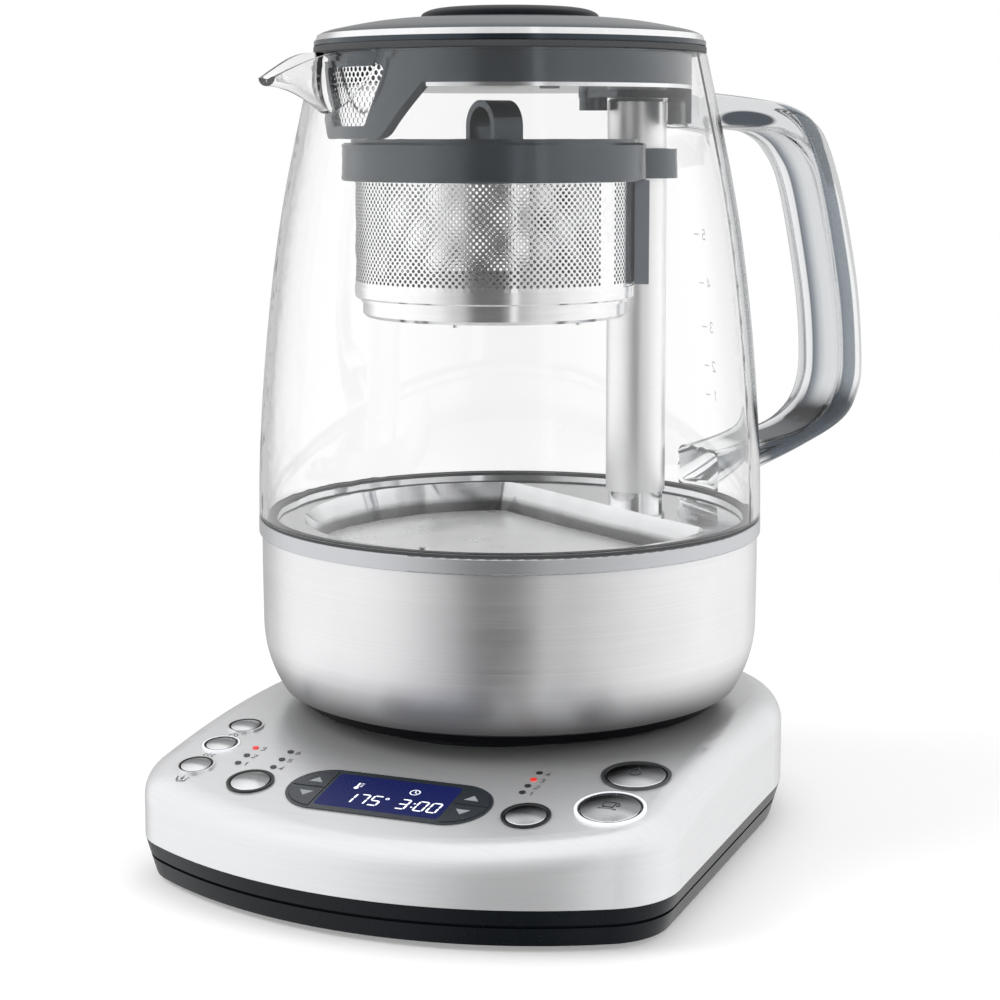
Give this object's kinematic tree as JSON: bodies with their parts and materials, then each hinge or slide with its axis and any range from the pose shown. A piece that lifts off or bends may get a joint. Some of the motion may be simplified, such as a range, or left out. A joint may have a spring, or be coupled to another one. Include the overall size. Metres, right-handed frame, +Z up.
{
  "type": "automatic tea maker",
  "caption": "Glass jug with steel heating bowl, filter spout, lid and a tea basket driven up and down a post, on a powered base with display, arrow keys and round buttons.",
  "frame": {"origin": "on the table under the jug's axis", "axes": "+Z up, front with the control panel toward -Y, +X to the right seen from the front"},
  "size_m": [0.1782, 0.251, 0.2687],
  "materials": {
    "brushed_steel": "brushed",
    "polished_steel": "polished",
    "bright_ring": "polished",
    "satin_trim": "satin",
    "black_body": "satin",
    "foot_rubber": "matt",
    "seal_rubber": "satin",
    "circuit_board": "matt",
    "inner_steel": "plain",
    "panel_dark": "gloss",
    "display_blue": "gloss",
    "lamp": "gloss",
    "button_silver": "satin",
    "clear_glass": "clear",
    "clear_plastic": "clear",
    "slate": "satin",
    "knob_black": "satin",
    "inner_plastic": "matt"
  },
  "bodies": {
    "base": {"base_cover": "brushed_steel", "base_bottom": "black_body", "foot_ring": "foot_rubber", "cord_outlet": "black_body", "seat_ring": "black_body", "base_connector": "black_body", "main_board": "circuit_board", "display_board": "circuit_board", "lcd_panel": "panel_dark", "lcd_window": "display_blue", "tea_leds": "lamp", "strength_leds": "lamp", "button_rings": "bright_ring", "base_screws": "inner_steel"},
    "jug_plug": {"jug_connector": "black_body"},
    "jug": {"bowl_shell": "brushed_steel", "jug_bottom_cover": "black_body", "trim_ring": "satin_trim", "glass_seal": "seal_rubber", "glass_body": "clear_glass", "handle": "clear_plastic", "floor_pan": "polished_steel", "heating_element": "inner_steel", "thermostat": "inner_plastic", "temperature_sensor": "polished_steel", "lift_motor": "inner_steel", "post_tube": "polished_steel", "post_socket": "polished_steel"},
    "lid": {"lid_cap": "slate", "lid_knob": "knob_black", "lid_ring": "bright_ring", "lid_seal": "seal_rubber", "lid_skirt": "slate", "lid_underplate": "polished_steel", "lid_bracket": "slate", "lid_magnet": "inner_plastic", "filter_frame": "slate", "filter_mesh": "polished_steel"},
    "basket": {"basket_collar": "slate", "basket_cradle": "slate", "basket_mesh": "polished_steel", "basket_ring": "polished_steel", "basket_cap": "polished_steel"},
    "basket_lid": {"basket_lid": "slate"},
    "magnet_carrier": {"magnet_carrier": "inner_plastic"},
    "lead_screw": {"lead_screw": "inner_steel"},
    "small_button_1": {"small_button_1": "button_silver"},
    "small_button_2": {"small_button_2": "button_silver"},
    "small_button_3": {"small_button_3": "button_silver"},
    "select_button_left": {"select_button_left": "button_silver"},
    "select_button_right": {"select_button_right": "button_silver"},
    "large_button_upper": {"large_button_upper": "button_silver"},
    "large_button_lower": {"large_button_lower": "button_silver"},
    "key_left_up": {"key_left_up": "panel_dark"},
    "key_left_down": {"key_left_down": "panel_dark"},
    "key_right_up": {"key_right_up": "panel_dark"},
    "key_right_down": {"key_right_down": "panel_dark"}
  },
  "joints": [
    {"name": "jug_lift", "type": "slide", "parent": "base", "child": "jug_plug", "axis": [0, 0, 1], "range_m": [0, 0.08]},
    {"name": "jug_turn", "type": "hinge", "parent": "jug_plug", "child": "jug", "pos_m": [0, 0, 0.044], "axis": [0, 0, 1], "continuous": true},
    {"name": "lid_lift", "type": "slide", "parent": "jug", "child": "lid", "axis": [0, 0, 1], "range_m": [0, 0.06]},
    {"name": "basket_travel", "type": "slide", "parent": "jug", "child": "basket", "axis": [0, 0, -1], "range_m": [0, 0.06]},
    {"name": "basket_lid_twist", "type": "hinge", "parent": "basket", "child": "basket_lid", "pos_m": [-0.00344, -0.00492, 0.224], "axis": [0, 0, 1], "range_deg": [0, 20]},
    {"name": "magnet_travel", "type": "slide", "parent": "jug", "child": "magnet_carrier", "axis": [0, 0, -1], "range_m": [0, 0.06]},
    {"name": "screw_turn", "type": "hinge", "parent": "jug", "child": "lead_screw", "pos_m": [0.02983, 0.0426, 0.16], "axis": [0, 0, 1], "range_deg": [0, 5400]},
    {"name": "small_button_1_press", "type": "slide", "parent": "base", "child": "small_button_1", "axis": [0, 0.0996, -0.995], "range_m": [0, 0.001], "stiffness_N_per_m": 400},
    {"name": "small_button_2_press", "type": "slide", "parent": "base", "child": "small_button_2", "axis": [0, 0.1336, -0.991], "range_m": [0, 0.001], "stiffness_N_per_m": 400},
    {"name": "small_button_3_press", "type": "slide", "parent": "base", "child": "small_button_3", "axis": [0, 0.1672, -0.9859], "range_m": [0, 0.001], "stiffness_N_per_m": 400},
    {"name": "select_button_left_press", "type": "slide", "parent": "base", "child": "select_button_left", "axis": [0, 0.1797, -0.9837], "range_m": [0, 0.001], "stiffness_N_per_m": 400},
    {"name": "select_button_right_press", "type": "slide", "parent": "base", "child": "select_button_right", "axis": [0, 0.1797, -0.9837], "range_m": [0, 0.001], "stiffness_N_per_m": 400},
    {"name": "large_button_upper_press", "type": "slide", "parent": "base", "child": "large_button_upper", "axis": [0, 0.1081, -0.9941], "range_m": [0, 0.001], "stiffness_N_per_m": 400},
    {"name": "large_button_lower_press", "type": "slide", "parent": "base", "child": "large_button_lower", "axis": [0, 0.158, -0.9874], "range_m": [0, 0.001], "stiffness_N_per_m": 400},
    {"name": "key_left_up_press", "type": "slide", "parent": "base", "child": "key_left_up", "axis": [0, 0.1767, -0.9843], "range_m": [0, 0.0008], "stiffness_N_per_m": 400},
    {"name": "key_left_down_press", "type": "slide", "parent": "base", "child": "key_left_down", "axis": [0, 0.1767, -0.9843], "range_m": [0, 0.0008], "stiffness_N_per_m": 400},
    {"name": "key_right_up_press", "type": "slide", "parent": "base", "child": "key_right_up", "axis": [0, 0.1767, -0.9843], "range_m": [0, 0.0008], "stiffness_N_per_m": 400},
    {"name": "key_right_down_press", "type": "slide", "parent": "base", "child": "key_right_down", "axis": [0, 0.1767, -0.9843], "range_m": [0, 0.0008], "stiffness_N_per_m": 400}
  ],
  "couplings": [
    {"joint": "magnet_travel", "follows": "basket_travel", "ratio": 1},
    {"joint": "screw_turn", "follows": "basket_travel", "rad_per_m": 1570.8}
  ]
}
